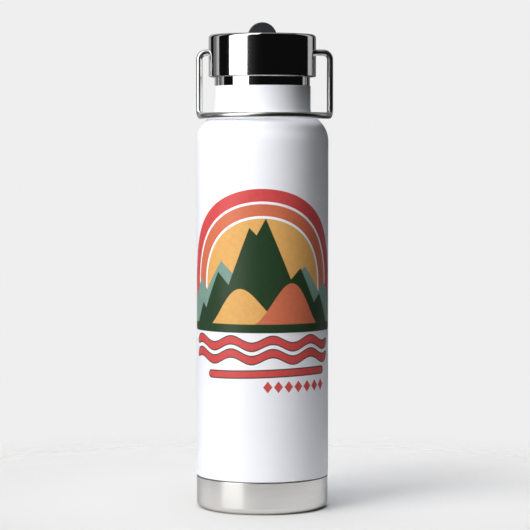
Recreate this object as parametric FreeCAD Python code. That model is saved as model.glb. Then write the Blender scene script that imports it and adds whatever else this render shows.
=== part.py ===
import FreeCAD, Part
import math
import os

# Insulated water bottle with a screw lid and a wire bail. Millimetres, +Z up, origin at the
# middle of the base on the floor. The front, where the bail hangs, is -Y, and +X is to the right.

UP = FreeCAD.Vector(0, 0, 1)
RIGHT = FreeCAD.Vector(1, 0, 0)
CENTRE = FreeCAD.Vector(0, 0, 0)

# Driving dimensions: bottle
BODY_RADIUS = 36.5
NECK_RADIUS = 26.65
SHOULDER_RADIUS = 15.4
NECK_FILLET = 6.0
PAINT_LOW = 18.1
SHOULDER_LOW = 202.5
NECK_TOP = 233.0
SHELL_WALL = 0.6
JACKET_GAP = 2.6
LINER_WALL = 0.5
SKIRT_SET_IN = 0.9
SKIRT_LOW = 6.0
WELD_LAND = 2.0
FLARE_LOW = 226.0
LINER_LOW = 20.0
LINER_BOTTOM = 10.5
LINER_CORNER = 8.0

# Driving dimensions: vacuum jacket's bottom, foil and getter
DISH_LOW = 4.2
DISH_FLANGE_TOP = 9.2
DISH_CORNER = 1.5
DIMPLE_RADIUS = 5.0
DIMPLE_DEPTH = 1.6
PUMP_HOLE = 0.9
FOIL_GAP = 0.05
FOIL_THICKNESS = 0.15
FOIL_LOW = 22.0
FOIL_HIGH = 200.0
GETTER_X = 14.0
GETTER_RADIUS = 5.3
HOLDER_RADIUS = 5.8
HOLDER_WALL = 0.4
HOLDER_LOW = 7.0
HOLDER_LIP = 4.2

# Driving dimensions: base
BASE_RADIUS = 36.35
BASE_TOP = 17.55
BASE_CORNER = 3.5
BASE_WALL = 0.6
BASE_RECESS = 1.6
BASE_FOOT_INNER = 30.0

# Driving dimensions: mouth and thread
MOUTH_RADIUS = 26.3
RIM_INNER = 24.9
RIM_TOP = 246.6
THREAD_LEAD = 8.0
THREAD_STARTS = 2
MALE_CREST = 27.2
MALE_LOW = 239.65
MALE_TURNS = 0.65
FEMALE_CREST = 26.6
FEMALE_TURNS = 0.5
FEMALE_BELOW_MALE = 1.4
FEMALE_LATE_ANGLE = 50.0
THREAD_FOOT_WIDTH = 1.8
THREAD_CREST_WIDTH = 0.7
THREAD_ROOT_SINK = 0.2

# Driving dimensions: lid
LID_RADIUS = 29.6
LID_LOW = 237.9
LID_TOP = 261.15
LID_EDGE = 1.9
LID_WALL = 0.6
LID_LIP_INNER = 28.2
CORE_RADIUS = 28.95
CORE_TOP = 260.5
CORE_BORE = 27.55
CEILING = 248.45
FOAM_TOP = 257.05
PLUG_RADIUS = 24.2
PLUG_LOW = 234.15
PLUG_WALL = 1.2
FOAM_RADIUS = 22.2
FOAM_CLEARANCE = 0.1
GASKET_OUTER = 27.3

# Driving dimensions: lug
LUG_RADIUS = 8.0
LUG_CENTRE = 259.95
LUG_THICKNESS = 5.5
LUG_EDGE = 0.9
SCREW_SPACING = 7.6
SCREW_RADIUS = 1.25
SCREW_HEAD_RADIUS = 2.2
SCREW_HEAD_HEIGHT = 1.4
SCREW_TIP = 264.65
PLATE_LENGTH = 16.0
PLATE_WIDTH = 7.0
PLATE_THICKNESS = 0.8
POCKET_CLEARANCE = 0.5

# Driving dimensions: bail
WIRE_RADIUS = 1.75
PIVOT_HEIGHT = 251.3
LEG_OUT = 36.05
TOP_BEND = 3.8
CORNER_BEND = 3.6
ARC_HEIGHT = 216.6
ARC_TILT = math.radians(13.5)
ARC_RUN = 5.0
WIRE_END = 25.2
BAIL_SHIFT = 1.3
BUSH_OUTER = 2.8
BUSH_CLEARANCE = 0.05
BUSH_INNER_END = 23.9
BUSH_OUTER_END = 28.9

# Worked out from the driving dimensions
SHOULDER_CENTRE = (BODY_RADIUS - SHOULDER_RADIUS, SHOULDER_LOW)
FILLET_CENTRE_R = NECK_RADIUS + NECK_FILLET
FILLET_CENTRE_Z = SHOULDER_LOW + math.sqrt(
    (SHOULDER_RADIUS + NECK_FILLET) ** 2 - (FILLET_CENTRE_R - SHOULDER_CENTRE[0]) ** 2)
FILLET_CENTRE = (FILLET_CENTRE_R, FILLET_CENTRE_Z)
LINER_INSET = SHELL_WALL + JACKET_GAP
LINER_RADIUS = BODY_RADIUS - LINER_INSET
FLARE_HIGH = NECK_TOP - WELD_LAND
WELD_RADIUS = NECK_RADIUS - SHELL_WALL
SKIRT_RADIUS = BODY_RADIUS - SKIRT_SET_IN
DISH_RADIUS = SKIRT_RADIUS - SHELL_WALL
PLATE_TOP = LID_TOP - LID_WALL
HEAD_TOP = PLATE_TOP - PLATE_THICKNESS


def cylinder(radius, low, high, x=0.0, y=0.0):
    """Upright round bar between two heights."""
    return Part.makeCylinder(radius, high - low, FreeCAD.Vector(x, y, low), UP)


def tube(outer, inner, low, high, x=0.0, y=0.0):
    """Upright tube between two heights."""
    return cylinder(outer, low, high, x, y).cut(cylinder(inner, low - 1, high + 1, x, y))


def cross_bar(radius, start, end):
    """Round bar along X at the height of the bail's pivot."""
    foot = FreeCAD.Vector(min(start, end), 0, PIVOT_HEIGHT)
    return Part.makeCylinder(radius, abs(end - start), foot, RIGHT)


def turned(start, *steps):
    """Solid of revolution about Z from a closed half section in radius and height.

    A step is the next point, or (centre, next point) for a round stretch about that centre.
    """
    edges = []
    here = start
    for step in steps + (start,):
        if isinstance(step[0], tuple):
            centre, here_next = step
            edges.append(round_edge(centre, here, here_next))
        else:
            here_next = step
            edges.append(Part.makeLine(section_point(here), section_point(here_next)))
        here = here_next
    face = Part.Face(Part.Wire(edges))
    return face.revolve(CENTRE, UP, 360)


def section_point(point):
    """Point of a half section, as a vector in the plane of X and Z."""
    return FreeCAD.Vector(point[0], 0, point[1])


def round_edge(centre, start, end):
    """Shorter arc about a centre, from start to end."""
    middle_r = (start[0] + end[0]) / 2 - centre[0]
    middle_z = (start[1] + end[1]) / 2 - centre[1]
    radius = math.hypot(start[0] - centre[0], start[1] - centre[1])
    stretch = radius / math.hypot(middle_r, middle_z)
    middle = (centre[0] + middle_r * stretch, centre[1] + middle_z * stretch)
    arc = Part.Arc(section_point(start), section_point(middle), section_point(end))
    return arc.toShape()


def filled_bottle(inset, low, high):
    """Solid inside the bottle's painted wall line, set in by inset, between two heights."""
    reach = (SHOULDER_RADIUS - inset) / (SHOULDER_RADIUS + NECK_FILLET)
    join = (SHOULDER_CENTRE[0] + (FILLET_CENTRE[0] - SHOULDER_CENTRE[0]) * reach,
            SHOULDER_CENTRE[1] + (FILLET_CENTRE[1] - SHOULDER_CENTRE[1]) * reach)
    return turned(
        (0, low),
        (BODY_RADIUS - inset, low),
        (BODY_RADIUS - inset, SHOULDER_LOW),
        (SHOULDER_CENTRE, join),
        (FILLET_CENTRE, (NECK_RADIUS - inset, FILLET_CENTRE_Z)),
        (NECK_RADIUS - inset, high),
        (0, high))


def thread(root, crest, low, turns, start_angle):
    """Helical ridge from a root radius to a crest radius, starting at a height and an angle."""
    foot = root - math.copysign(THREAD_ROOT_SINK, crest - root)
    helix = Part.makeHelix(THREAD_LEAD, THREAD_LEAD * turns, root)
    half_foot = THREAD_FOOT_WIDTH / 2
    half_crest = THREAD_CREST_WIDTH / 2
    corners = [section_point((foot, -half_foot)), section_point((crest, -half_crest)),
               section_point((crest, half_crest)), section_point((foot, half_foot))]
    profile = Part.makePolygon(corners + corners[:1])
    ridge = Part.Wire(helix).makePipeShell([profile], True, True)
    ridge.rotate(CENTRE, UP, start_angle)
    ridge.translate(UP * low)
    return ridge


def with_threads(wall, root, crest, low, turns, first_angle):
    """Wall with every start of the thread joined to it."""
    for start in range(THREAD_STARTS):
        angle = first_angle + start * 360 / THREAD_STARTS
        wall = wall.fuse(thread(root, crest, low, turns, angle))
    return wall.removeSplitter()


def outer_shell():
    """Painted wall, with a set-in skirt at the bottom that the base cup covers."""
    outside = filled_bottle(0, PAINT_LOW, NECK_TOP)
    outside = outside.fuse(cylinder(SKIRT_RADIUS, SKIRT_LOW, PAINT_LOW))
    inside = filled_bottle(SHELL_WALL, PAINT_LOW + SHELL_WALL, NECK_TOP)
    inside = inside.fuse(cylinder(SKIRT_RADIUS - SHELL_WALL, SKIRT_LOW, PAINT_LOW + SHELL_WALL))
    return outside.cut(inside)


def base_cup():
    """Pressed cup with a rounded floor corner, a standing ring and a recessed middle."""
    corner = (BASE_RADIUS - BASE_CORNER, BASE_CORNER)
    inner = BASE_RADIUS - BASE_WALL
    step_out = BASE_FOOT_INNER - BASE_RECESS
    return turned(
        (0, BASE_RECESS),
        (step_out, BASE_RECESS),
        (BASE_FOOT_INNER, 0),
        (corner[0], 0),
        (corner, (BASE_RADIUS, BASE_CORNER)),
        (BASE_RADIUS, BASE_TOP),
        (inner, BASE_TOP),
        (inner, BASE_CORNER),
        (corner, (corner[0], BASE_WALL)),
        (BASE_FOOT_INNER + BASE_WALL / 2, BASE_WALL),
        (step_out + BASE_WALL / 2, BASE_RECESS + BASE_WALL),
        (0, BASE_RECESS + BASE_WALL))


def outer_bottom():
    """Bottom dish of the vacuum jacket, with the dimple and hole it is pumped out through."""
    corner = (DISH_RADIUS - DISH_CORNER, DISH_LOW + DISH_CORNER)
    inner = DISH_RADIUS - SHELL_WALL
    floor = DISH_LOW + SHELL_WALL
    dimple = DISH_LOW + DIMPLE_DEPTH
    return turned(
        (PUMP_HOLE, dimple),
        (DIMPLE_RADIUS - 1, dimple),
        (DIMPLE_RADIUS, DISH_LOW),
        (corner[0], DISH_LOW),
        (corner, (DISH_RADIUS, corner[1])),
        (DISH_RADIUS, DISH_FLANGE_TOP),
        (inner, DISH_FLANGE_TOP),
        (inner, corner[1]),
        (corner, (corner[0], floor)),
        (DIMPLE_RADIUS + SHELL_WALL / 2, floor),
        (DIMPLE_RADIUS - 1 + SHELL_WALL / 2, dimple + SHELL_WALL),
        (PUMP_HOLE, dimple + SHELL_WALL))


def seal_bead():
    """Brazing bead in the dimple, with a stem in the pump-out hole."""
    dimple = DISH_LOW + DIMPLE_DEPTH
    bead_radius = 3.0
    bead_depth = 0.9
    return turned(
        (0, dimple - bead_depth),
        (bead_radius - bead_depth, dimple - bead_depth),
        ((bead_radius - bead_depth, dimple), (bead_radius, dimple)),
        (PUMP_HOLE, dimple),
        (PUMP_HOLE, dimple + SHELL_WALL),
        (0, dimple + SHELL_WALL))


def inner_liner():
    """Liner wall up to its flared neck, the weld land, the mouth band, thread and rim."""
    outside = filled_bottle(LINER_INSET, LINER_LOW, FLARE_LOW)
    inside = filled_bottle(LINER_INSET + LINER_WALL, LINER_LOW, FLARE_LOW)
    wall = outside.cut(inside)
    neck = NECK_RADIUS - LINER_INSET
    rim_centre = ((MOUTH_RADIUS + RIM_INNER) / 2, RIM_TOP - (MOUTH_RADIUS - RIM_INNER) / 2)
    mouth_inner = MOUTH_RADIUS - LINER_WALL
    rim_drop = 1.6
    mouth = turned(
        (neck, FLARE_LOW),
        (WELD_RADIUS, FLARE_HIGH),
        (WELD_RADIUS, NECK_TOP),
        (MOUTH_RADIUS, NECK_TOP),
        (MOUTH_RADIUS, rim_centre[1]),
        (rim_centre, (rim_centre[0], RIM_TOP)),
        (rim_centre, (RIM_INNER, rim_centre[1])),
        (mouth_inner, rim_centre[1] - rim_drop),
        (mouth_inner, NECK_TOP + LINER_WALL),
        (WELD_RADIUS - LINER_WALL, NECK_TOP + LINER_WALL),
        (WELD_RADIUS - LINER_WALL, FLARE_HIGH),
        (neck - LINER_WALL, FLARE_LOW))
    return with_threads(wall.fuse(mouth), MOUTH_RADIUS, MALE_CREST, MALE_LOW, MALE_TURNS, 0)


def inner_bottom():
    """Rounded bottom cup welded to the liner's lower edge."""
    corner = (LINER_RADIUS - LINER_CORNER, LINER_BOTTOM + LINER_CORNER)
    inner = LINER_RADIUS - LINER_WALL
    floor = LINER_BOTTOM + LINER_WALL
    return turned(
        (0, LINER_BOTTOM),
        (corner[0], LINER_BOTTOM),
        (corner, (LINER_RADIUS, corner[1])),
        (LINER_RADIUS, LINER_LOW),
        (inner, LINER_LOW),
        (inner, corner[1]),
        (corner, (corner[0], floor)),
        (0, floor))


def radiation_foil():
    """Reflective foil wrapped round the straight part of the liner."""
    inner = LINER_RADIUS + FOIL_GAP
    return tube(inner + FOIL_THICKNESS, inner, FOIL_LOW, FOIL_HIGH)


def getter_holder():
    """Small open cup welded under the liner, with a lip that the getter rests on."""
    wall = tube(HOLDER_RADIUS, HOLDER_RADIUS - HOLDER_WALL, HOLDER_LOW, LINER_BOTTOM, GETTER_X)
    lip = tube(HOLDER_RADIUS, HOLDER_LIP, HOLDER_LOW, HOLDER_LOW + HOLDER_WALL, GETTER_X)
    return wall.fuse(lip).removeSplitter()


def getter():
    """Pill that keeps the vacuum, on the holder's lip."""
    return cylinder(GETTER_RADIUS, HOLDER_LOW + HOLDER_WALL, LINER_BOTTOM - 0.5, GETTER_X)


def screw_places():
    """Both screw positions along X."""
    return (-SCREW_SPACING / 2, SCREW_SPACING / 2)


def lid_shell():
    """Drawn cap with a rounded top edge, a lip turned in at the bottom, and four holes."""
    edge = (LID_RADIUS - LID_EDGE, LID_TOP - LID_EDGE)
    inner = LID_RADIUS - LID_WALL
    lip = (inner, LID_LOW + LID_WALL)
    shell = turned(
        (0, LID_TOP),
        (edge[0], LID_TOP),
        (edge, (LID_RADIUS, edge[1])),
        (LID_RADIUS, lip[1]),
        (lip, (inner, LID_LOW)),
        (LID_LIP_INNER, LID_LOW),
        (LID_LIP_INNER, lip[1]),
        (inner, lip[1]),
        (inner, edge[1]),
        (edge, (edge[0], LID_TOP - LID_WALL)),
        (0, LID_TOP - LID_WALL))
    shell = shell.cut(cross_bar(WIRE_RADIUS + 2 * BUSH_CLEARANCE, -LID_RADIUS - 1, LID_RADIUS + 1))
    for x in screw_places():
        shell = shell.cut(cylinder(SCREW_RADIUS, LID_TOP - 2, LID_TOP + 1, x))
    return shell


def plate_block(length, width, low, high):
    """Flat block with half-round ends, across the lid's middle along X."""
    straight = length - width
    block = Part.makeBox(straight, width, high - low, FreeCAD.Vector(-straight / 2, -width / 2, low))
    for x in (-straight / 2, straight / 2):
        block = block.fuse(cylinder(width / 2, low, high, x))
    return block.removeSplitter()


def lid_core():
    """Plastic cap inside the shell: ceiling, threaded skirt, foam cavity, pocket and bush bores."""
    core = cylinder(CORE_RADIUS, LID_LOW + LID_WALL, CORE_TOP)
    core = core.makeChamfer(LID_EDGE, [max(core.Edges, key=lambda edge: edge.CenterOfMass.z)])
    core = core.cut(cylinder(CORE_BORE, LID_LOW, CEILING))
    core = core.cut(cylinder(FOAM_RADIUS, CEILING - 1, FOAM_TOP))
    pocket_low = HEAD_TOP - SCREW_HEAD_HEIGHT - POCKET_CLEARANCE
    core = core.cut(plate_block(PLATE_LENGTH + 1, PLATE_WIDTH + 1, pocket_low, CORE_TOP + 1))
    for side in (-1, 1):
        core = core.cut(cross_bar(BUSH_OUTER, side * (BUSH_INNER_END - 0.2), side * LID_RADIUS))
    low = MALE_LOW - FEMALE_BELOW_MALE + THREAD_LEAD * FEMALE_LATE_ANGLE / 360
    return with_threads(core, CORE_BORE, FEMALE_CREST, low, FEMALE_TURNS, FEMALE_LATE_ANGLE)


def plug_cup():
    """Plastic cup welded under the core's ceiling, which hangs in the mouth."""
    corner_radius = 2.0
    corner = (PLUG_RADIUS - corner_radius, PLUG_LOW + corner_radius)
    inner = PLUG_RADIUS - PLUG_WALL
    return turned(
        (0, PLUG_LOW),
        (corner[0], PLUG_LOW),
        (corner, (PLUG_RADIUS, corner[1])),
        (PLUG_RADIUS, CEILING),
        (inner, CEILING),
        (inner, corner[1]),
        (corner, (corner[0], PLUG_LOW + PLUG_WALL)),
        (0, PLUG_LOW + PLUG_WALL))


def lid_foam():
    """Foam that fills the plug and the core's cavity above it."""
    low = PLUG_LOW + PLUG_WALL + FOAM_CLEARANCE
    plug_part = PLUG_RADIUS - PLUG_WALL - FOAM_CLEARANCE
    core_part = FOAM_RADIUS - FOAM_CLEARANCE
    chamfer = 1.0
    return turned(
        (0, low),
        (plug_part - chamfer, low),
        (plug_part, low + chamfer),
        (plug_part, CEILING - FOAM_CLEARANCE),
        (core_part, CEILING - FOAM_CLEARANCE),
        (core_part, FOAM_TOP - FOAM_CLEARANCE),
        (0, FOAM_TOP - FOAM_CLEARANCE))


def lid_gasket():
    """Silicone ring between the core's ceiling and the mouth's rim, with a small sealing lip."""
    inner = PLUG_RADIUS + 0.1
    top = CEILING - 0.02
    return tube(GASKET_OUTER, inner, RIM_TOP + 0.05, top)


def grip_lug():
    """Half-disc lug that stands on the lid's top, with softened edges and two screw holes."""
    disc = Part.makeCylinder(LUG_RADIUS, LUG_THICKNESS,
                             FreeCAD.Vector(0, -LUG_THICKNESS / 2, LUG_CENTRE),
                             FreeCAD.Vector(0, 1, 0))
    rims = [edge for edge in disc.Edges if len(edge.Vertexes) == 1]
    disc = disc.makeFillet(LUG_EDGE, rims)
    below = Part.makeBox(40, 40, 20, FreeCAD.Vector(-20, -20, LID_TOP - 20))
    lug = disc.cut(below)
    for x in screw_places():
        lug = lug.cut(cylinder(SCREW_RADIUS, LID_TOP - 1, SCREW_TIP, x))
    return lug


def lug_plate():
    """Backing plate under the lid's top, drilled for the lug's screws."""
    plate = plate_block(PLATE_LENGTH, PLATE_WIDTH, HEAD_TOP, PLATE_TOP)
    for x in screw_places():
        plate = plate.cut(cylinder(SCREW_RADIUS, HEAD_TOP - 1, PLATE_TOP + 1, x))
    return plate


def lug_screws():
    """Two pan-head screws with a cross slot, up through the plate into the lug."""
    screws = []
    slot_width = 0.7
    slot_length = 2.6
    slot_depth = 0.7
    head_low = HEAD_TOP - SCREW_HEAD_HEIGHT
    for x in screw_places():
        screw = cylinder(SCREW_HEAD_RADIUS, head_low, HEAD_TOP, x)
        screw = screw.fuse(cylinder(SCREW_RADIUS, HEAD_TOP - 0.5, SCREW_TIP, x))
        for size_x, size_y in ((slot_length, slot_width), (slot_width, slot_length)):
            corner = FreeCAD.Vector(x - size_x / 2, -size_y / 2, head_low - 1)
            screw = screw.cut(Part.makeBox(size_x, size_y, slot_depth + 1, corner))
        screws.append(screw)
    return Part.makeCompound(screws)


def pivot_bush(side):
    """Bush in the core's side that one end of the wire turns in; side is -1 left, 1 right."""
    bush = cross_bar(BUSH_OUTER, side * BUSH_INNER_END, side * BUSH_OUTER_END)
    bore = cross_bar(WIRE_RADIUS + BUSH_CLEARANCE, side * (BUSH_INNER_END - 1),
                     side * (BUSH_OUTER_END + 1))
    return bush.cut(bore).common(cylinder(CORE_RADIUS, LID_LOW, LID_TOP))


def bail_path():
    """Centre line of the wire, from its left end over the legs and the front arc to the right.

    The wire has some end play in its bushes and rests pushed to the right.
    """
    side_out = math.sin(ARC_TILT)
    side_front = math.cos(ARC_TILT)
    corner_end_x = LEG_OUT - CORNER_BEND * side_out
    corner_end_y = -CORNER_BEND * side_front
    arc_start_x = corner_end_x - ARC_RUN * side_out
    arc_start_y = corner_end_y - ARC_RUN * side_front
    arc_radius = arc_start_x / side_front
    arc_front_y = arc_start_y + arc_radius * side_out - arc_radius
    halfway = math.sqrt(0.5)
    edges = []
    right = [
        FreeCAD.Vector(WIRE_END, 0, PIVOT_HEIGHT),
        FreeCAD.Vector(LEG_OUT - TOP_BEND, 0, PIVOT_HEIGHT),
        FreeCAD.Vector(LEG_OUT - TOP_BEND * (1 - halfway), 0, PIVOT_HEIGHT - TOP_BEND * (1 - halfway)),
        FreeCAD.Vector(LEG_OUT, 0, PIVOT_HEIGHT - TOP_BEND),
        FreeCAD.Vector(LEG_OUT, 0, ARC_HEIGHT + CORNER_BEND),
        FreeCAD.Vector(LEG_OUT - CORNER_BEND * side_out * (1 - halfway),
                       -CORNER_BEND * side_front * (1 - halfway),
                       ARC_HEIGHT + CORNER_BEND * (1 - halfway)),
        FreeCAD.Vector(corner_end_x, corner_end_y, ARC_HEIGHT),
        FreeCAD.Vector(arc_start_x, arc_start_y, ARC_HEIGHT)]
    left = [FreeCAD.Vector(-point.x, point.y, point.z) for point in right]
    front = FreeCAD.Vector(0, arc_front_y, ARC_HEIGHT)
    edges.append(Part.makeLine(left[0], left[1]))
    edges.append(Part.Arc(left[1], left[2], left[3]).toShape())
    edges.append(Part.makeLine(left[3], left[4]))
    edges.append(Part.Arc(left[4], left[5], left[6]).toShape())
    edges.append(Part.makeLine(left[6], left[7]))
    edges.append(Part.Arc(left[7], front, right[7]).toShape())
    edges.append(Part.makeLine(right[7], right[6]))
    edges.append(Part.Arc(right[6], right[5], right[4]).toShape())
    edges.append(Part.makeLine(right[4], right[3]))
    edges.append(Part.Arc(right[3], right[2], right[1]).toShape())
    edges.append(Part.makeLine(right[1], right[0]))
    path = Part.Wire(edges)
    path.translate(RIGHT * BAIL_SHIFT)
    return path


def bail_wire():
    """Round wire swept along the bail's centre line."""
    start = FreeCAD.Vector(BAIL_SHIFT - WIRE_END, 0, PIVOT_HEIGHT)
    section = Part.Wire(Part.makeCircle(WIRE_RADIUS, start, RIGHT))
    return bail_path().makePipeShell([section], True, True)


NODES = {
    "outer_shell": outer_shell(),
    "base_cup": base_cup(),
    "outer_bottom": outer_bottom(),
    "seal_bead": seal_bead(),
    "inner_liner": inner_liner(),
    "inner_bottom": inner_bottom(),
    "radiation_foil": radiation_foil(),
    "getter": getter(),
    "getter_holder": getter_holder(),
    "lid_shell": lid_shell(),
    "lid_core": lid_core(),
    "plug_cup": plug_cup(),
    "lid_foam": lid_foam(),
    "grip_lug": grip_lug(),
    "lug_screws": lug_screws(),
    "lug_plate": lug_plate(),
    "pivot_bush_left": pivot_bush(-1),
    "pivot_bush_right": pivot_bush(1),
    "lid_gasket": lid_gasket(),
    "bail_wire": bail_wire(),
}

os.makedirs("parts", exist_ok=True)
for name, shape in NODES.items():
    shape.exportStep(f"parts/{name}.step")
    print(f"{name}: valid {shape.isValid()}, solids {len(shape.Solids)}, volume {shape.Volume:.1f} mm3")
print(f"bail: path {bail_path().Length:.2f} mm, "
      f"section times length {math.pi * WIRE_RADIUS ** 2 * bail_path().Length:.1f} mm3")
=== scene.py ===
import math

import bmesh
import bpy
import mathutils
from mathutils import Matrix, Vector


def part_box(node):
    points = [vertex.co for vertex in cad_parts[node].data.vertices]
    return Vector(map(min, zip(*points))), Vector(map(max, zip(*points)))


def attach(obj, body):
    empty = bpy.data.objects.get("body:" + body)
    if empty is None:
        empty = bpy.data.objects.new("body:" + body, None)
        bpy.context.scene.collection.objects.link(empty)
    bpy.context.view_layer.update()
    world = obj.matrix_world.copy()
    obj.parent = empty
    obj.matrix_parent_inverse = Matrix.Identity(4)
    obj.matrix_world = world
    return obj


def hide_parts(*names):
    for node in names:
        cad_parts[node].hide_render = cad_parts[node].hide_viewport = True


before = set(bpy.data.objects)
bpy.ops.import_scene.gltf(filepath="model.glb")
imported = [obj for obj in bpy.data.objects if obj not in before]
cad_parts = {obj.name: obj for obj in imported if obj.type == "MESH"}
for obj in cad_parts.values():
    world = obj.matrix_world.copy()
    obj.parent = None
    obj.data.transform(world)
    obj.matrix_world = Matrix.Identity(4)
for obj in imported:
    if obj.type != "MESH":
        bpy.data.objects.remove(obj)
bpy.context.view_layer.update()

# Metres. The bottle stands on the floor at z = 0, its front is -Y and +X is to the right.
MM = 0.001
TURN = 2 * math.pi
AROUND = 288
ARC_STEP = math.radians(5)

# Sizes read from the frame
SHELL_LOW, SHELL_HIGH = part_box("outer_shell")
BASE_LOW, BASE_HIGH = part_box("base_cup")
LID_LOW, LID_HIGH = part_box("lid_shell")
BODY_RADIUS = SHELL_HIGH.x
NECK_TOP = SHELL_HIGH.z
SKIRT_LOW = SHELL_LOW.z
BASE_RADIUS = BASE_HIGH.x
BASE_TOP = BASE_HIGH.z
LID_RADIUS = LID_HIGH.x
LID_BOTTOM = LID_LOW.z
LID_TOP = LID_HIGH.z
RIM_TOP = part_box("inner_liner")[1].z
LINER_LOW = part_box("inner_liner")[0].z
LINER_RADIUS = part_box("inner_liner")[1].x

# Bottle wall
NECK_RADIUS = 26.65 * MM
SHOULDER_RADIUS = 15.4 * MM
NECK_FILLET = 6.0 * MM
PAINT_LOW = 18.1 * MM
SHOULDER_LOW = 202.5 * MM
SHELL_WALL = 0.6 * MM
LINER_WALL = 0.5 * MM
SKIRT_RADIUS = BODY_RADIUS - 0.9 * MM

# Mouth and thread
MOUTH_RADIUS = 26.3 * MM
RIM_INNER = 24.9 * MM
THREAD_LEAD = 8.0 * MM
THREAD_TURNS = 0.65
THREAD_LOW = 239.65 * MM
THREAD_CREST = 27.2 * MM

# Wire bail
WIRE_RADIUS = 1.75 * MM
PIVOT_HEIGHT = 251.3 * MM
LEG_OUT = 36.05 * MM
TOP_BEND = 3.8 * MM
CORNER_BEND = 3.6 * MM
ARC_HEIGHT = 216.6 * MM
ARC_TILT = math.radians(13.5)
ARC_RUN = 5.0 * MM
WIRE_END = 25.2 * MM
BAIL_SHIFT = 1.3 * MM

# Base cup
BASE_WALL = 0.6 * MM
BASE_RECESS = 1.6 * MM
BASE_FOOT = 30.0 * MM
BASE_CORNER = 3.5 * MM

# Lid cap
LID_WALL = 0.6 * MM
LID_LIP_INNER = 28.2 * MM
LID_EDGE = 1.9 * MM
WIRE_HOLE_PLAY = 0.1 * MM

# Lug
LUG_RADIUS = 8.0 * MM
LUG_CENTRE = 259.95 * MM
LUG_THICKNESS = 5.5 * MM
LUG_EDGE = 0.9 * MM


# ---------------------------------------------------------------- mesh tools

def add_object(name, mesh):
    """New object in the scene for a mesh."""
    made = bpy.data.objects.new(name, mesh)
    bpy.context.scene.collection.objects.link(made)
    return made


def rounded_spans(corners):
    """Straight and round spans of a closed outline given as corners (radius, height, rounding).

    Every span is a list of (point, normal) pairs. The outline runs with its solid on the left.
    """
    count = len(corners)
    arcs = []
    for index, (r, z, rounding) in enumerate(corners):
        here = Vector((r, z))
        before = (here - Vector(corners[index - 1][:2])).normalized()
        after = (Vector(corners[(index + 1) % count][:2]) - here).normalized()
        turn = before.angle_signed(after)
        reach = rounding * math.tan(abs(turn) / 2)
        arcs.append((here - before * reach, here + after * reach, before, after, rounding))
    spans = []
    for index, (start, end, before, after, rounding) in enumerate(arcs):
        normal_in = Vector((before.y, -before.x))
        normal_out = Vector((after.y, -after.x))
        if rounding > 0:
            sweep = normal_in.angle(normal_out)
            bulge = 1 if before.cross(after) > 0 else -1
            centre = start - normal_in * rounding * bulge
            steps = max(2, math.ceil(sweep / ARC_STEP))
            span = []
            for step in range(steps + 1):
                angle = sweep * step / steps * bulge
                normal = Vector((normal_in.x * math.cos(angle) - normal_in.y * math.sin(angle),
                                 normal_in.x * math.sin(angle) + normal_in.y * math.cos(angle)))
                span.append((centre + normal * rounding * bulge, normal))
            spans.append(span)
        following = arcs[(index + 1) % count]
        spans.append([(end, normal_out), (following[0], normal_out)])
    return [span for span in spans if (span[0][0] - span[-1][0]).length > 1e-9]


def lathe(name, corners, segments=AROUND):
    """Closed solid of revolution about Z, with exact normals, from a rounded outline."""
    spans = rounded_spans(corners)
    verts = []
    rows = {}

    def row(point):
        key = (round(point.x, 9), round(point.y, 9))
        if key not in rows:
            if point.x < 1e-9:
                verts.append((0.0, 0.0, point.y))
                rows[key] = [len(verts) - 1] * segments
            else:
                first = len(verts)
                for step in range(segments):
                    angle = TURN * step / segments
                    verts.append((point.x * math.cos(angle), point.x * math.sin(angle), point.y))
                rows[key] = list(range(first, first + segments))
        return rows[key]

    faces = []
    normals = []
    for span in spans:
        for (low_point, low_normal), (high_point, high_normal) in zip(span, span[1:]):
            if low_point.x < 1e-9 and high_point.x < 1e-9:
                continue
            low = row(low_point)
            high = row(high_point)
            for step in range(segments):
                following = (step + 1) % segments
                loop = [(low[step], low_normal, step), (low[following], low_normal, following),
                        (high[following], high_normal, following), (high[step], high_normal, step)]
                kept = []
                for corner in loop:
                    if corner[0] not in [other[0] for other in kept]:
                        kept.append(corner)
                faces.append([corner[0] for corner in kept])
                for _, normal, place in kept:
                    angle = TURN * place / segments
                    normals.append((normal.x * math.cos(angle), normal.x * math.sin(angle), normal.y))
    mesh = bpy.data.meshes.new(name)
    mesh.from_pydata(verts, [], faces)
    mesh.validate()
    mesh.polygons.foreach_set("use_smooth", [True] * len(mesh.polygons))
    mesh.normals_split_custom_set(normals)
    return add_object(name, mesh)


def sweep(name, path, section):
    """Closed tube along a path of points; section gives (across, up) offsets in each frame."""
    count = len(section)
    tangents = []
    for index, point in enumerate(path):
        before = path[max(index - 1, 0)]
        after = path[min(index + 1, len(path) - 1)]
        tangents.append((after - before).normalized())
    up = Vector((0, 0, 1)) if abs(tangents[0].z) < 0.9 else Vector((0, 1, 0))
    verts = []
    normals = []
    for point, tangent in zip(path, tangents):
        up = (up - tangent * up.dot(tangent)).normalized()
        across = tangent.cross(up)
        for a, b in section:
            offset = across * a + up * b
            verts.append(point + offset)
            normals.append(offset.normalized())
    faces = []
    for ring_index in range(len(path) - 1):
        base = ring_index * count
        for step in range(count):
            following = (step + 1) % count
            faces.append((base + step, base + following, base + count + following, base + count + step))
    faces.append(list(range(count - 1, -1, -1)))
    last = (len(path) - 1) * count
    faces.append([last + step for step in range(count)])
    mesh = bpy.data.meshes.new(name)
    mesh.from_pydata([tuple(v) for v in verts], [], faces)
    fix_outward(mesh)
    return add_object(name, mesh)


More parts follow.
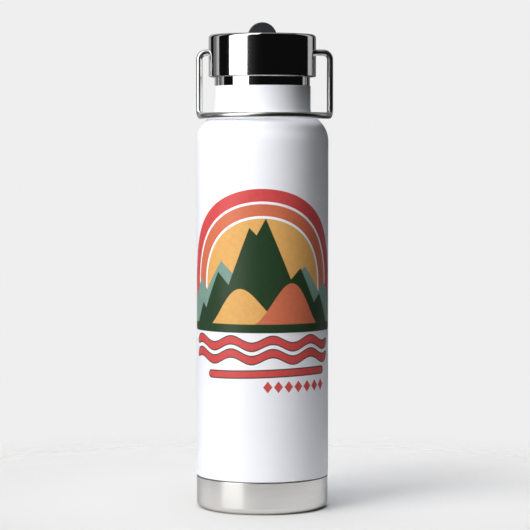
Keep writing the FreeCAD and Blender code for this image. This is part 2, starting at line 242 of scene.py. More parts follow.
def fix_outward(mesh):
    """Faces turned outward and shaded smooth, with edges over 35 degrees kept sharp."""
    work = bmesh.new()
    work.from_mesh(mesh)
    bmesh.ops.recalc_face_normals(work, faces=work.faces)
    for face in work.faces:
        face.smooth = True
    for edge in work.edges:
        if len(edge.link_faces) == 2:
            edge.smooth = edge.calc_face_angle() < math.radians(35)
    work.to_mesh(mesh)
    work.free()


def round_section(radius, count=40):
    """Circle as section offsets."""
    return [(radius * math.cos(TURN * step / count), radius * math.sin(TURN * step / count))
            for step in range(count)]


# ---------------------------------------------------------------- material tools

class Shader:
    """Node material with a principled shader and short ways to add nodes."""

    def __init__(self, name, **settings):
        self.material = bpy.data.materials.new(name)
        self.material.use_nodes = True
        self.tree = self.material.node_tree
        self.principled = self.tree.nodes["Principled BSDF"]
        for socket, value in settings.items():
            self.principled.inputs[socket.replace("_", " ")].default_value = value
        self.place = self.add("ShaderNodeTexCoord").outputs["Object"]

    def add(self, kind, inputs=None, **settings):
        made = self.tree.nodes.new(kind)
        for key, value in settings.items():
            setattr(made, key, value)
        for key, value in (inputs or {}).items():
            if isinstance(value, bpy.types.NodeSocket):
                self.tree.links.new(value, made.inputs[key])
            else:
                made.inputs[key].default_value = value
        return made

    def link(self, output, socket):
        self.tree.links.new(output, self.principled.inputs[socket])

    def scaled(self, x, y, z):
        return self.add("ShaderNodeVectorMath", {0: self.place, 1: (x, y, z)},
                        operation="MULTIPLY").outputs[0]

    def noise(self, scale, detail=2.0, vector=None, roughness=0.5):
        made = self.add("ShaderNodeTexNoise", {"Vector": vector or self.place, "Scale": scale,
                                               "Detail": detail, "Roughness": roughness})
        return made.outputs["Fac"]

    def remap(self, value, low, high, from_low=0.3, from_high=0.7, smooth=False):
        made = self.add("ShaderNodeMapRange", {"Value": value, "From Min": from_low,
                                               "From Max": from_high, "To Min": low, "To Max": high})
        if smooth:
            made.interpolation_type = "SMOOTHSTEP"
        return made.outputs["Result"]

    def math(self, operation, a, b=0.0):
        return self.add("ShaderNodeMath", {0: a, 1: b}, operation=operation).outputs[0]

    def mix(self, factor, a, b):
        made = self.add("ShaderNodeMix", {0: factor, 6: a, 7: b}, data_type="RGBA")
        return made.outputs[2]

    def bump(self, height, distance, strength=1.0, normal=None):
        inputs = {"Height": height, "Distance": distance, "Strength": strength}
        if normal is not None:
            inputs["Normal"] = normal
        return self.add("ShaderNodeBump", inputs).outputs["Normal"]


def powder_coat():
    """Satin white powder coat: faint orange peel, slight unevenness in gloss and tone."""
    m = Shader("powder_coat", Roughness=0.36, Specular_IOR_Level=0.5)
    tone = m.noise(22, 3)
    m.link(m.mix(m.remap(tone, 0, 1), (0.843, 0.859, 0.918, 1), (0.859, 0.873, 0.930, 1)), "Base Color")
    m.link(m.remap(m.noise(160, 4), 0.33, 0.41), "Roughness")
    peel = m.bump(m.noise(1100, 2), 0.00002, 0.35)
    fine = m.bump(m.noise(6500, 2), 0.000004, 0.35, peel)
    m.link(fine, "Normal")
    return m.material


def brushed_steel(name, tone, roughness, depth, grain=5200.0):
    """Steel brushed round its circumference: streaks run level, and vary with height."""
    m = Shader(name, Metallic=1.0, Anisotropic=0.5, Anisotropic_Rotation=0.25,
               Specular_Tint=(0.55, 0.55, 0.56, 1))
    tangent = m.add("ShaderNodeTangent", direction_type="RADIAL", axis="Z").outputs[0]
    m.link(tangent, "Tangent")
    streaks = m.noise(1.0, 4, m.scaled(25, 25, grain), 0.7)
    broad = m.noise(1.0, 3, m.scaled(12, 12, grain / 8), 0.6)
    patch = m.noise(45, 3)
    dark = tuple(channel * 0.97 for channel in tone) + (1,)
    light = tuple(min(channel * 1.02, 1) for channel in tone) + (1,)
    m.link(m.mix(m.remap(broad, 0, 1), dark, light), "Base Color")
    rough = m.math("ADD", m.remap(streaks, -0.03, 0.03), m.remap(patch, roughness - 0.02, roughness + 0.03))
    m.link(rough, "Roughness")
    m.link(m.bump(streaks, depth, 0.5, m.bump(broad, depth, 0.25)), "Normal")
    return m.material


def polished_steel(name, tone, roughness, depth):
    """Mirror-polished steel: level polishing lines far below a hair's depth, faint smudges."""
    m = Shader(name, Metallic=1.0)
    lines = m.noise(1.0, 3, m.scaled(30, 30, 2600), 0.65)
    smudge = m.noise(70, 4)
    scratch = m.noise(1.0, 2, m.scaled(400, 400, 9000), 0.6)
    dark = tuple(channel * 0.97 for channel in tone) + (1,)
    m.link(m.mix(m.remap(smudge, 0, 1), dark, tone + (1,)), "Base Color")
    m.link(m.remap(smudge, roughness * 0.7, roughness * 1.5), "Roughness")
    m.link(m.bump(lines, depth, 0.5, m.bump(scratch, depth / 4, 0.3)), "Normal")
    return m.material


def wire_steel():
    """Polished drawn wire."""
    m = Shader("wire_steel", Metallic=1.0)
    smudge = m.noise(90, 1)
    m.link(m.mix(m.remap(smudge, 0, 1), (0.84, 0.84, 0.84, 1), (0.88, 0.88, 0.88, 1)), "Base Color")
    m.link(m.remap(smudge, 0.285, 0.30), "Roughness")
    m.link(m.bump(m.noise(300, 1), 0.0000008, 0.2), "Normal")
    return m.material


def liner_steel():
    """Electropolished liner: satin inside, mirror bright on the mouth band and thread."""
    m = Shader("liner_steel", Metallic=1.0)
    parts = m.add("ShaderNodeSeparateXYZ", {0: m.place})
    radius = m.math("SQRT", m.math("ADD", m.math("POWER", parts.outputs[0], 2.0),
                                   m.math("POWER", parts.outputs[1], 2.0)))
    high = m.remap(parts.outputs[2], 0, 1, NECK_TOP - 0.7 * MM, NECK_TOP - 0.1 * MM)
    outside = m.remap(radius, 0, 1, 25.9 * MM, 26.2 * MM)
    bright = m.math("MULTIPLY", high, outside)
    streaks = m.noise(1.0, 3, m.scaled(30, 30, 2600), 0.65)
    m.link(m.mix(m.remap(m.noise(60, 3), 0, 1), (0.74, 0.74, 0.73, 1), (0.8, 0.8, 0.79, 1)), "Base Color")
    satin = m.remap(streaks, 0.2, 0.3)
    m.link(m.add("ShaderNodeMix", {0: bright, 2: satin, 3: 0.045}).outputs[0], "Roughness")
    m.link(m.bump(streaks, 0.0000015, 0.5), "Normal")
    return m.material


def moulded_plastic(name, tone, roughness, texture=5200.0, depth=0.000008):
    """Matte moulded plastic with a fine spark-eroded texture."""
    m = Shader(name, Specular_IOR_Level=0.45)
    patch = m.noise(140, 3)
    light = tuple(min(channel * 1.25 + 0.002, 1) for channel in tone) + (1,)
    m.link(m.mix(m.remap(patch, 0, 1), tone + (1,), light), "Base Color")
    m.link(m.remap(m.noise(900, 3), roughness - 0.05, roughness + 0.06), "Roughness")
    m.link(m.bump(m.noise(texture, 3), depth, 0.6), "Normal")
    return m.material


def silicone():
    """Milky silicone rubber."""
    m = Shader("silicone", Subsurface_Weight=0.2, Subsurface_Scale=0.001)
    m.link(m.mix(m.remap(m.noise(300, 3), 0, 1), (0.66, 0.67, 0.68, 1), (0.74, 0.75, 0.75, 1)), "Base Color")
    m.link(m.remap(m.noise(700, 2), 0.5, 0.62), "Roughness")
    m.link(m.bump(m.noise(2400, 2), 0.00001, 0.4), "Normal")
    return m.material


def rough_matter(name, tone, scale, depth, roughness=0.85, metallic=0.0):
    """Foam, pressed powder, braze and foil: an uneven surface in one tone."""
    m = Shader(name, Metallic=metallic)
    grain = m.noise(scale, 5, None, 0.65)
    dark = tuple(channel * 0.75 for channel in tone) + (1,)
    m.link(m.mix(m.remap(grain, 0, 1), dark, tone + (1,)), "Base Color")
    m.link(m.remap(grain, roughness - 0.08, roughness + 0.08), "Roughness")
    m.link(m.bump(grain, depth, 0.7), "Normal")
    return m.material


def print_ink(name, tone):
    """Screen-printed ink: satin, with a slight mottle and pinhole texture."""
    m = Shader("ink_" + name, Specular_IOR_Level=0.5)
    mottle = m.noise(420, 4, None, 0.6)
    dark = tuple(channel * 0.94 for channel in tone) + (1,)
    light = tuple(min(channel * 1.05, 1) for channel in tone) + (1,)
    m.link(m.mix(m.remap(mottle, 0, 1), dark, light), "Base Color")
    m.link(m.remap(m.noise(900, 3), 0.36, 0.46), "Roughness")
    m.link(m.bump(m.noise(2600, 3), 0.000006, 0.4), "Normal")
    return m.material


BRIGHT_TONE = (0.90, 0.90, 0.90)
BLACK_TONE = (0.016, 0.017, 0.022)
MATERIALS = {
    "paint": powder_coat(),
    "base": brushed_steel("base_steel", (0.78, 0.77, 0.75), 0.22, 0.0000004),
    # Near-black skirt tone: painted shade for the shadow in the gap above the base cup.
    "skirt": polished_steel("skirt_steel_painted_gap_shade", (0.22, 0.22, 0.22), 0.30, 0.0000010),
    "lid": polished_steel("lid_steel", BRIGHT_TONE, 0.065, 0.0000009),
    "wire": wire_steel(),
    "liner": liner_steel(),
    "lug": moulded_plastic("lug_plastic", BLACK_TONE, 0.42),
    "core": moulded_plastic("core_plastic", (0.03, 0.03, 0.032), 0.5),
    "bush": moulded_plastic("bush_plastic", (0.62, 0.61, 0.58), 0.4),
    "silicone": silicone(),
    "rolled": brushed_steel("rolled_steel", (0.62, 0.62, 0.61), 0.38, 0.0000030),
    "foam": rough_matter("foam", (0.86, 0.82, 0.66), 1500, 0.0003),
    "foil": rough_matter("foil", (0.88, 0.88, 0.89), 260, 0.0001, 0.25, 1.0),
    "getter": rough_matter("getter_powder", (0.12, 0.12, 0.13), 5000, 0.00005),
    "braze": rough_matter("braze", (0.70, 0.56, 0.32), 900, 0.0001, 0.4, 1.0),
}


def finish_piece(piece, material, body, slot, *nodes):
    """Material, body and replaced CAD nodes of a new piece; the slot argument is not used."""
    piece.data.materials.clear()
    piece.data.materials.append(MATERIALS[material])
    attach(piece, body)
    if nodes:
        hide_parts(*nodes)
    return piece


# ---------------------------------------------------------------- bottle

def shoulder_corners(inset):
    """The two outline corners whose roundings make the shoulder and the neck fillet."""
    convex = SHOULDER_RADIUS - inset
    hollow = NECK_FILLET + inset
    spread = SHOULDER_RADIUS + NECK_FILLET
    sweep_angle = math.acos(1 - (BODY_RADIUS - NECK_RADIUS) / spread)
    fillet_height = SHOULDER_LOW + spread * math.sin(sweep_angle)
    lift = math.tan(sweep_angle / 2)
    return [(BODY_RADIUS - inset, SHOULDER_LOW + convex * lift, convex),
            (NECK_RADIUS - inset, fillet_height - hollow * lift, hollow)]


def painted_shell():
    """Painted wall: rolled lower edge, straight body, shoulder and neck."""
    edge = 0.28 * MM
    inner = shoulder_corners(SHELL_WALL)
    corners = [(BODY_RADIUS - SHELL_WALL, PAINT_LOW, 0), (BODY_RADIUS, PAINT_LOW, edge)]
    corners += shoulder_corners(0)
    corners += [(NECK_RADIUS, NECK_TOP, edge), (NECK_RADIUS - SHELL_WALL, NECK_TOP, 0)]
    corners += inner[::-1]
    shell = lathe("painted_shell", corners)
    return finish_piece(shell, "paint", "bottle", "white_paint", "outer_shell")


def shell_skirt():
    """Bare step and skirt below the paint, seen as a thin line above the base cup; its near-black tone is
    painted shade for the shadow in the gap between paint and base cup.
    """
    skirt_inner = SKIRT_RADIUS - SHELL_WALL
    top = PAINT_LOW + SHELL_WALL / 2
    corners = [(skirt_inner, SKIRT_LOW, 0), (SKIRT_RADIUS, SKIRT_LOW, 0.1 * MM),
               (SKIRT_RADIUS, PAINT_LOW - 0.02 * MM, 0.1 * MM),
               (BODY_RADIUS - 0.35 * MM, PAINT_LOW - 0.02 * MM, 0),
               (BODY_RADIUS - 0.35 * MM, top, 0), (skirt_inner, top, 0)]
    return finish_piece(lathe("shell_skirt", corners), "skirt", "bottle", "jacket_steel")


def base():
    """Brushed base cup with a rounded floor corner, standing ring and recessed middle."""
    inner = BASE_RADIUS - BASE_WALL
    step = BASE_FOOT - BASE_RECESS
    ceiling = BASE_RECESS + BASE_WALL
    corners = [(0, BASE_RECESS, 0), (step, BASE_RECESS, 1.0 * MM), (BASE_FOOT, 0, 0.8 * MM),
               (BASE_RADIUS, 0, BASE_CORNER), (BASE_RADIUS, BASE_TOP, 0.22 * MM),
               (inner, BASE_TOP, 0.1 * MM), (inner, BASE_WALL, 2.9 * MM),
               (BASE_FOOT + BASE_WALL / 2, BASE_WALL, 0.5 * MM),
               (step + BASE_WALL / 2, ceiling, 0.5 * MM), (0, ceiling, 0)]
    return finish_piece(lathe("base", corners), "base", "bottle", "brushed_base", "base_cup")


def liner():
    """Liner wall, flared neck, weld land, polished mouth band and rounded rim."""
    inset = BODY_RADIUS - LINER_RADIUS
    weld = NECK_RADIUS - SHELL_WALL
    neck = NECK_RADIUS - inset
    flare_low = 226.0 * MM
    flare_high = NECK_TOP - 2.0 * MM
    rim = (MOUTH_RADIUS - RIM_INNER) / 2
    corners = [(LINER_RADIUS - LINER_WALL, LINER_LOW, 0), (LINER_RADIUS, LINER_LOW, 0)]
    corners += shoulder_corners(inset)
    corners += [(neck, flare_low, 0.8 * MM), (weld, flare_high, 0.6 * MM), (weld, NECK_TOP, 0),
                (MOUTH_RADIUS, NECK_TOP, 0.06 * MM), (MOUTH_RADIUS, RIM_TOP, rim * 0.999),
                (RIM_INNER, RIM_TOP, rim * 0.999), (RIM_INNER, RIM_TOP - 1.1 * MM, 0.25 * MM),
                (MOUTH_RADIUS - LINER_WALL, RIM_TOP - 2.4 * MM, 0.6 * MM),
                (MOUTH_RADIUS - LINER_WALL, NECK_TOP + LINER_WALL, 0.1 * MM),
                (weld - LINER_WALL, NECK_TOP + LINER_WALL, 0.1 * MM),
                (weld - LINER_WALL, flare_high, 0.6 * MM), (neck - LINER_WALL, flare_low, 0.8 * MM)]
    corners += shoulder_corners(inset + LINER_WALL)[::-1]
    return finish_piece(lathe("liner", corners), "liner", "bottle", "liner_steel", "inner_liner")


def mouth_thread(name, first_angle):
    """One start of the mouth's rolled thread: a ridge that runs out smoothly at both ends."""
    steps = 90
    run_out = 0.08
    verts = []
    section = [(-0.95, -0.12), (-0.5, 0.55), (-0.28, 0.86), (0.0, 0.92), (0.28, 0.86), (0.5, 0.55),
               (0.95, -0.12)]
    for step in range(steps + 1):
        along = step / steps
        fade = min(along, 1 - along) / run_out
        height = min(1.0, fade) * (THREAD_CREST - MOUTH_RADIUS) / (0.92 * MM)
        angle = first_angle + TURN * THREAD_TURNS * along
        middle = THREAD_LOW + THREAD_LEAD * THREAD_TURNS * along
        for rise, out in section:
            radius = MOUTH_RADIUS + (out * height if out > 0 else out) * MM
            verts.append((radius * math.cos(angle), radius * math.sin(angle), middle + rise * MM))
    count = len(section)
    faces = []
    for step in range(steps):
        for side in range(count):
            following = (side + 1) % count
            faces.append((step * count + side, step * count + following,
                          (step + 1) * count + following, (step + 1) * count + side))
    faces.append(list(range(count)))
    faces.append([steps * count + side for side in range(count)])
    mesh = bpy.data.meshes.new(name)
    mesh.from_pydata(verts, [], faces)
    fix_outward(mesh)
    return finish_piece(add_object(name, mesh), "liner", "bottle", "liner_steel")


# ---------------------------------------------------------------- lid and bail

def cut_holes(target, cutters):
    """target with the cutters taken out, and exact normals put back on its round walls."""
    for cutter in cutters:
        modifier = target.modifiers.new("hole", "BOOLEAN")
        modifier.object = cutter
        modifier.operation = "DIFFERENCE"
        modifier.solver = "EXACT"
    graph = bpy.context.evaluated_depsgraph_get()
    cut = bpy.data.meshes.new_from_object(target.evaluated_get(graph))
    target.modifiers.clear()
    target.data = cut
    for cutter in cutters:
        bpy.data.objects.remove(cutter)
    fix_outward(cut)
    normals = [Vector(corner.vector) for corner in cut.corner_normals]
    for polygon in cut.polygons:
        radial = Vector((polygon.center.x, polygon.center.y, 0)).normalized()
        facing = polygon.normal.dot(radial)
        if abs(facing) < 0.9995:
            continue
        for loop_index in polygon.loop_indices:
            place = cut.vertices[cut.loops[loop_index].vertex_index].co
            outward = Vector((place.x, place.y, 0)).normalized()
            normals[loop_index] = outward if facing > 0 else -outward
    cut.normals_split_custom_set(normals)
    return target


def side_bar(radius, start, end, segments=64):
    """Round bar along X at the pivot's height, as a cutter."""
    path = [Vector((start, 0, PIVOT_HEIGHT)), Vector((end, 0, PIVOT_HEIGHT))]
    return sweep("cutter", path, round_section(radius, segments))


def lid_cap():
    """Polished cap: rounded top edge, turned-in lip, and a hole each side for the wire."""
    inner = LID_RADIUS - LID_WALL
    ceiling = LID_TOP - LID_WALL
    lip_top = LID_BOTTOM + LID_WALL
    corners = [(0, ceiling, 0), (inner, ceiling, 1.3 * MM), (inner, lip_top, 0.1 * MM),
               (LID_LIP_INNER, lip_top, 0.1 * MM), (LID_LIP_INNER, LID_BOTTOM, 0.15 * MM),
               (LID_RADIUS, LID_BOTTOM, 0.6 * MM), (LID_RADIUS, LID_TOP, LID_EDGE), (0, LID_TOP, 0)]
    cap = lathe("lid_cap", corners)
    hole = WIRE_RADIUS + WIRE_HOLE_PLAY
    cutters = [side_bar(hole, side * 25 * MM, side * 33 * MM) for side in (-1, 1)]
    cut_holes(cap, cutters)
    return finish_piece(cap, "lid", "lid", "polished_steel", "lid_shell")


def arc_points(centre, start, end, steps):
    """Points of the shorter arc about a centre from start to end, both included."""
    first = start - centre
    last = end - centre
    turn = first.angle(last)
    points = []
    for step in range(steps + 1):
        share = step / steps
        points.append(centre + (first * math.sin(turn * (1 - share)) + last * math.sin(turn * share))
                      / math.sin(turn))
    return points


def bail_points():
    """Centre line of the wire from its left end, over both legs and the front arc."""
    side_out = math.sin(ARC_TILT)
    side_front = math.cos(ARC_TILT)
    pivot_out = Vector((LEG_OUT - TOP_BEND, 0, PIVOT_HEIGHT))
    leg_top = Vector((LEG_OUT, 0, PIVOT_HEIGHT - TOP_BEND))
    leg_low = Vector((LEG_OUT, 0, ARC_HEIGHT + CORNER_BEND))
    corner = leg_low + Vector((-side_out, -side_front, 0)) * CORNER_BEND
    corner_end = Vector((corner.x, corner.y, ARC_HEIGHT))
    arc_start = corner_end + Vector((-side_out, -side_front, 0)) * ARC_RUN
    arc_radius = arc_start.x / side_front
    arc_centre = Vector((0, arc_start.y + arc_radius * side_out, ARC_HEIGHT))
    arc_front = Vector((0, arc_centre.y - arc_radius, ARC_HEIGHT))
    right = [Vector((WIRE_END, 0, PIVOT_HEIGHT))]
    right += arc_points(pivot_out - Vector((0, 0, TOP_BEND)), pivot_out, leg_top, 24)
    right += arc_points(corner, leg_low, corner_end, 24)
    right += arc_points(arc_centre, arc_start, arc_front, 60)
    left = [Vector((-point.x, point.y, point.z)) for point in right]
    return [point + Vector((BAIL_SHIFT, 0, 0)) for point in left + right[-2::-1]]


def bail():
    """Polished wire bail."""
    wire = sweep("bail", bail_points(), round_section(WIRE_RADIUS, 48))
    return finish_piece(wire, "wire", "bail", "polished_steel", "bail_wire")


def lug():
    """Half-disc lug with soft edges, cut off level at the lid's top."""
    half = LUG_THICKNESS / 2
    corners = [(0, -half, 0), (LUG_RADIUS, -half, LUG_EDGE), (LUG_RADIUS, half, LUG_EDGE), (0, half, 0)]
    disc = lathe("lug", corners, 192)
    upright = mathutils.Matrix.Rotation(math.radians(90), 4, "X")
    lift = mathutils.Matrix.Translation((0, 0, LUG_CENTRE))
    work = bmesh.new()
    work.from_mesh(disc.data)
    bmesh.ops.transform(work, matrix=lift @ upright, verts=work.verts)
    everything = list(work.verts) + list(work.edges) + list(work.faces)
    bmesh.ops.bisect_plane(work, geom=everything, plane_co=(0, 0, LID_TOP), plane_no=(0, 0, -1),
                           clear_outer=True)
    rim = [edge for edge in work.edges if edge.is_boundary]
    bmesh.ops.contextual_create(work, geom=rim)
    work.to_mesh(disc.data)
    work.free()
    if disc.data.has_custom_normals:
        disc.data.attributes.remove(disc.data.attributes["custom_normal"])
    fix_outward(disc.data)
    return finish_piece(disc, "lug", "lid", "black_plastic", "grip_lug")


def gasket():
    """Silicone ring with soft edges."""
    low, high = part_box("lid_gasket")
    inner = 24.3 * MM
    corners = [(inner, low.z, 0.35 * MM), (high.x, low.z, 0.35 * MM), (high.x, high.z, 0.35 * MM),
               (inner, high.z, 0.35 * MM)]
    return finish_piece(lathe("gasket", corners), "silicone", "gasket", "silicone", "lid_gasket")


# ---------------------------------------------------------------- printed picture

INK_TONES = {
    "red": (0.60, 0.070, 0.072),
    "clay": (0.60, 0.155, 0.078),
    "mustard": (0.70, 0.385, 0.115),
    "sage": (0.185, 0.305, 0.265),
    "forest": (0.017, 0.046, 0.018),
}
for ink_name, ink_tone in INK_TONES.items():
    MATERIALS["ink_" + ink_name] = print_ink(ink_name, ink_tone)

INK_STEP = 1.2
INK_THICKNESS = 0.02 * MM


def ink(name, tone, outline, layer):
    """Thin closed film of ink on the body; outline is (round the body, height) in mm."""
    work = bmesh.new()
    work.faces.new([work.verts.new((u, v, 0)) for u, v in outline])
    left = min(u for u, v in outline)
    right = max(u for u, v in outline)
    for step in range(math.floor(left / INK_STEP) + 1, math.ceil(right / INK_STEP)):
        everything = list(work.verts) + list(work.edges) + list(work.faces)
        bmesh.ops.bisect_plane(work, geom=everything, plane_co=(step * INK_STEP, 0, 0),
                               plane_no=(1, 0, 0), dist=1e-5)
    bmesh.ops.triangulate(work, faces=work.faces)
    grown = bmesh.ops.extrude_face_region(work, geom=list(work.faces))
    outer = {item for item in grown["geom"] if isinstance(item, bmesh.types.BMVert)}
    top = INK_THICKNESS * (layer + 1)
    for vert in work.verts:
        radius = BODY_RADIUS + (top if vert in outer else 0.004 * MM)
        angle = vert.co.x * MM / BODY_RADIUS
        height = vert.co.y * MM
        vert.co = (radius * math.sin(angle), -radius * math.cos(angle), height)
    mesh = bpy.data.meshes.new(name)
    work.to_mesh(mesh)
    work.free()
    fix_outward(mesh)
    return finish_piece(add_object(name, mesh), "ink_" + tone, "bottle", "white_paint")


def arch(outer, inner, middle, foot):
    """Outline of a round arch on straight legs; inner 0 gives a filled arch."""
    steps = 72
    outline = [(outer * math.cos(math.pi * step / steps), middle + outer * math.sin(math.pi * step / steps))
               for step in range(steps + 1)]
    outline += [(-outer, foot)]
    if inner:
        outline += [(-inner, foot)]
        outline += [(-inner * math.cos(math.pi * step / steps),
                     middle + inner * math.sin(math.pi * step / steps)) for step in range(steps + 1)]
        outline += [(inner, foot)]
    outline += [(outer, foot)]
    return outline


def hill(left, right, foot, top, lean=0.0):
    """Outline of a smooth rounded hill."""
    steps = 48
    outline = []
    for step in range(steps + 1):
        share = step / steps
        bent = share + lean * math.sin(math.pi * share) / math.pi
        outline.append((left + (right - left) * share, foot + (top - foot) * math.sin(math.pi * bent) ** 2))
    return outline[::-1]


def wave(left, right, height, swing, length, thickness):
    """Outline of a wavy ribbon of one thickness with round ends."""
    steps = 150
    cap = thickness / 2
    upper = []
    lower = []
    for step in range(steps + 1):
        share = (1 - math.cos(math.pi * step / steps)) / 2
        u = left + (right - left) * share
        into_cap = min(1.0, min(u - left, right - u) / cap)
        half = cap * math.sqrt(1 - (1 - into_cap) ** 2)
        middle = height + swing * math.sin(TURN * u / length)
        upper.append((u, middle + half))
        lower.append((u, middle - half))
    return lower + upper[-2:0:-1]


def picture():
    """Generic landscape: an arched sky in bands, plain ridges and hills, ribbons and diamonds."""
    ink("sky_outer", "red", arch(51.0, 44.2, 126, 113), 0)
    ink("sky_middle", "clay", arch(42.8, 36.4, 126, 113), 0)
    ink("sky_inner", "mustard", arch(35.0, 0, 126, 102), 0)
    far = [(-51, 102), (51, 102), (51, 118), (42, 126), (36, 121), (25, 135), (16, 127), (-14, 129),
           (-24, 138), (-35, 122), (-41, 128), (-51, 116)]
    ink("ridge_far", "sage", far, 1)
    near = [(-46, 103), (46, 103), (37, 120), (32, 115), (22, 134), (16, 128), (2, 161), (-3, 152),
            (-7, 156), (-19, 125), (-26, 132), (-36, 112), (-39, 115)]
    ink("ridge_near", "forest", near, 2)
    ink("hill_left", "mustard", hill(-34, 16, 102.5, 123, 0.2), 3)
    ink("hill_right", "clay", hill(-8, 37, 102.5, 126, -0.15), 4)
    ink("ground", "forest", wave(-51, 51, 101.5, 0, 100, 4.6), 5)
    for name, height in (("ripple_upper", 93.4), ("ripple_lower", 86.2)):
        ink(name + "_edge", "forest", wave(-46.6, 46.6, height, 1.9, 23.3, 5.2), 0)
        ink(name, "red", wave(-46, 46, height, 1.9, 23.3, 4.0), 1)
    ink("stroke_edge", "forest", wave(-33.6, 41.6, 77.0, 0.8, 140, 4.6), 0)
    ink("stroke", "red", wave(-33, 41, 77.0, 0.8, 140, 3.4), 1)
    for index in range(7):
        u = 3 + index * 5.9
        ink(f"diamond_{index + 1}", "red", [(u - 2.5, 69.8), (u, 66.6), (u + 2.5, 69.8), (u, 73.0)], 0)


painted_shell()
shell_skirt()
base()
liner()
mouth_thread("thread_first", 0)
mouth_thread("thread_second", math.pi)
lid_cap()
lug()
gasket()
bail()
picture()

KEPT_NODES = {
    "outer_bottom": "rolled", "seal_bead": "braze", "inner_bottom": "liner", "radiation_foil": "foil",
    "getter": "getter", "getter_holder": "rolled", "lid_core": "core", "plug_cup": "core",
    "lid_foam": "foam", "lug_screws": "rolled", "lug_plate": "rolled",
    "pivot_bush_left": "bush", "pivot_bush_right": "bush",
}
for node_name, material_name in KEPT_NODES.items():
    node_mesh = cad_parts[node_name].data
    node_mesh.materials.clear()
    node_mesh.materials.append(MATERIALS[material_name])


# ---------------------------------------------------------------- studio

BACKGROUND = 0.863
FLOOR_FADE_START = 0.13
FLOOR_RADIUS = 0.34
# Floor colour near the bottle and further out; the lighter far colour is painted light that evens out the
# near lamp's falloff.
FLOOR_NEAR = ((0.757, 0.750, 0.745, 1), (0.763, 0.756, 0.751, 1))
FLOOR_FAR_PAINTED_LIGHT = ((0.784, 0.777, 0.768, 1), (0.790, 0.783, 0.774, 1))

# Light cards. Angles in degrees: azimuth 0 is in front and positive to the right.
KEY_AZIMUTH = (-74.5, -33.0)
KEY_HEIGHT = (-3.0, 58.0)
KEY_RGB = (3.26, 3.21, 3.10)
KEY_DIFFUSE_CUT = 0.33
SPILL_END = 12.0
FILL_AZIMUTH = (-30.0, 0.0)
FILL_SHARE = 0.25
TOP_CARD_AZIMUTH = (-75.0, -15.0)
TOP_CARD_SHARE = 0.8
RIGHT_STRIP_AZIMUTH = (115.5, 137.0)
LEFT_STRIP_AZIMUTH = (-129.0, -106.5)
OVERHEAD_RGB = (4.95, 5.1, 5.35)
AMBIENT = 0.004
SPILL, RIGHT_STRIP, LEFT_STRIP, LEFT_EDGE, RIGHT_EDGE, HIGH_BACK = 0.05, 0.42, 0.45, 0.42, 0.11, 0.3


def floor():
    """Pale floor round the bottle that fades out into the even background, with painted light that lightens
    it further out.
    """
    under = -2 * MM
    disc = lathe("floor", [(0, under, 0), (FLOOR_RADIUS, under, 0), (FLOOR_RADIUS, 0, 0), (0, 0, 0)], 96)
    m = Shader("floor_paper", Roughness=0.9, Specular_IOR_Level=0.0)
    parts = m.add("ShaderNodeSeparateXYZ", {0: m.place})
    radius = m.math("SQRT", m.math("ADD", m.math("POWER", parts.outputs[0], 2.0),
                                   m.math("POWER", parts.outputs[1], 2.0)))
    geometry = m.add("ShaderNodeNewGeometry")
    facing_up = m.add("ShaderNodeSeparateXYZ", {0: geometry.outputs["Normal"]}).outputs[2]
    top_only = m.math("MULTIPLY", m.math("GREATER_THAN", facing_up, 0.5),
                      m.math("SUBTRACT", 1.0, geometry.outputs["Backfacing"]))
    fade = m.remap(radius, 1, 0, FLOOR_FADE_START, FLOOR_RADIUS, True)
    m.link(m.math("MULTIPLY", fade, top_only), "Alpha")
    fleck = m.remap(m.noise(900, 3), 0, 1)
    near = m.mix(fleck, *FLOOR_NEAR)
    far = m.mix(fleck, *FLOOR_FAR_PAINTED_LIGHT)
    # Colour lighter with distance from the bottle: painted light making up for the lamp lighting the far
    # floor less.
    m.link(m.mix(m.remap(radius, 0, 1, 0.08, 0.26), near, far), "Base Color")
    disc.data.materials.append(m.material)


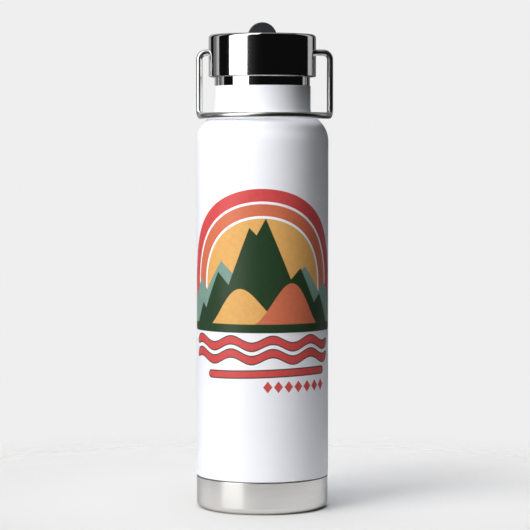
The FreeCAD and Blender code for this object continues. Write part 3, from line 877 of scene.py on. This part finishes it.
def studio_world():
    """Even pale background for the camera, and soft light cards round the object for the rest."""
    world = bpy.data.worlds.new("studio")
    bpy.context.scene.world = world
    world.use_nodes = True
    tree = world.node_tree
    tree.nodes.clear()

    def add(kind, inputs=None, **settings):
        made = tree.nodes.new(kind)
        for key, value in settings.items():
            setattr(made, key, value)
        for key, value in (inputs or {}).items():
            if isinstance(value, bpy.types.NodeSocket):
                tree.links.new(value, made.inputs[key])
            else:
                made.inputs[key].default_value = value
        return made

    def calc(operation, a, b=0.0):
        return add("ShaderNodeMath", {0: a, 1: b}, operation=operation).outputs[0]

    def step_up(value, low, high):
        return add("ShaderNodeMapRange", {"Value": value, "From Min": low, "From Max": high},
                   interpolation_type="SMOOTHSTEP").outputs[0]

    def band(value, low, high, soft):
        rise = step_up(value, low - soft, low + soft)
        fall = step_up(value, high - soft, high + soft)
        return calc("MULTIPLY", rise, calc("SUBTRACT", 1.0, fall))

    direction = add("ShaderNodeTexCoord").outputs["Generated"]
    parts = add("ShaderNodeSeparateXYZ", {0: direction})
    front = calc("MULTIPLY", parts.outputs[1], -1.0)
    azimuth = calc("MULTIPLY", calc("ARCTAN2", parts.outputs[0], front), 180 / math.pi)
    elevation = calc("MULTIPLY", calc("ARCSINE", parts.outputs[2]), 180 / math.pi)
    away = calc("ABSOLUTE", azimuth)

    level = band(elevation, -20.0, 50.0, 12.0)
    key_level = band(elevation, *KEY_HEIGHT, 3.0)
    key_card = calc("MULTIPLY", band(azimuth, *KEY_AZIMUTH, 0.8), key_level)
    spill_start = KEY_AZIMUTH[1]
    spill_fall = calc("POWER", add("ShaderNodeMapRange", {"Value": azimuth, "From Min": SPILL_END,
                                                          "From Max": spill_start}).outputs[0], 4.0)
    key_spill = calc("MULTIPLY", spill_fall, band(azimuth, spill_start, SPILL_END, 0.8))
    strip_right = calc("MULTIPLY", band(azimuth, *RIGHT_STRIP_AZIMUTH, 1.0),
                       band(elevation, -4.0, 50.0, 4.0))
    strip_left = calc("MULTIPLY", band(azimuth, *LEFT_STRIP_AZIMUTH, 0.8), level)
    strip_left = calc("MULTIPLY", strip_left, calc("ADD", step_up(azimuth, -121.0, -106.5), 0.32))
    edge_left = calc("MULTIPLY", calc("SUBTRACT", 1.0, step_up(azimuth, -150.0, -142.0)), level)
    edge_right = calc("MULTIPLY", step_up(azimuth, 146.0, 152.0), level)
    high_back = calc("MULTIPLY", step_up(away, 100.0, 130.0), band(elevation, 55.0, 84.0, 6.0))
    cards = [(key_spill, SPILL), (strip_right, RIGHT_STRIP), (strip_left, LEFT_STRIP),
             (edge_left, LEFT_EDGE), (edge_right, RIGHT_EDGE), (high_back, HIGH_BACK)]
    even = AMBIENT
    for mask, strength in cards:
        even = calc("ADD", even, calc("MULTIPLY", mask, strength))

    path = add("ShaderNodeLightPath")
    diffuse = path.outputs["Is Diffuse Ray"]
    mirrored = calc("SUBTRACT", 1.0, diffuse)
    overhead = calc("MULTIPLY", step_up(elevation, 66.0, 74.0), diffuse)
    fill = calc("MULTIPLY", calc("MULTIPLY", band(azimuth, *FILL_AZIMUTH, 3.0), key_level), diffuse)
    top_card = calc("MULTIPLY", band(azimuth, *TOP_CARD_AZIMUTH, 4.0), step_up(elevation, 58.0, 61.0))
    top_card = calc("MULTIPLY", top_card, mirrored)
    key = calc("MULTIPLY", key_card, calc("SUBTRACT", 1.0, calc("MULTIPLY", diffuse, KEY_DIFFUSE_CUT)))
    key = calc("ADD", key, calc("MULTIPLY", fill, FILL_SHARE))
    key = calc("ADD", key, calc("MULTIPLY", top_card, TOP_CARD_SHARE))

    def channel(key_strength, overhead_strength):
        lit = calc("ADD", even, calc("MULTIPLY", key, key_strength))
        return calc("ADD", lit, calc("MULTIPLY", overhead, overhead_strength))

    channels = {index: channel(*pair) for index, pair in enumerate(zip(KEY_RGB, OVERHEAD_RGB))}
    light = add("ShaderNodeCombineColor", channels).outputs[0]
    seen = add("ShaderNodeMix", {0: path.outputs["Is Camera Ray"], 6: light,
                                 7: (BACKGROUND, BACKGROUND, BACKGROUND, 1)}, data_type="RGBA")
    background = add("ShaderNodeBackground", {"Color": seen.outputs[2], "Strength": 1.0})
    add("ShaderNodeOutputWorld", {"Surface": background.outputs[0]})


def upper_light():
    """Soft light from the front left that falls mostly on the bottle's upper half."""
    distance = 0.45
    azimuth = math.radians(-36)
    lamp = bpy.data.lights.new("upper_light", "AREA")
    lamp.shape = "RECTANGLE"
    lamp.size = 0.20
    lamp.size_y = 0.20
    lamp.energy = 0.28
    lamp.spread = math.radians(70)
    placed = add_object("upper_light", lamp)
    placed.location = (distance * math.sin(azimuth), -distance * math.cos(azimuth), 0.36)
    aim = Vector((0, 0, 0.23)) - placed.location
    placed.rotation_euler = aim.to_track_quat("-Z", "Y").to_euler()
    placed.visible_glossy = False
    placed.visible_camera = False


def camera():
    """Long lens a little above the shoulder's height, looking slightly down."""
    distance = 1.302
    height = 0.2019
    aside = 1.5 * MM
    pitch = math.radians(2.98)
    lens = bpy.data.cameras.new("camera")
    lens.lens = 159.9
    lens.sensor_width = 36
    lens.clip_start = 0.01
    lens.clip_end = 20
    placed = add_object("camera", lens)
    placed.location = (aside, -distance, height)
    placed.rotation_euler = (math.radians(90) - pitch, 0, 0)
    bpy.context.scene.camera = placed


floor()
studio_world()
upper_light()
camera()
view = bpy.context.scene.view_settings
view.view_transform = "Standard"
view.look = "None"
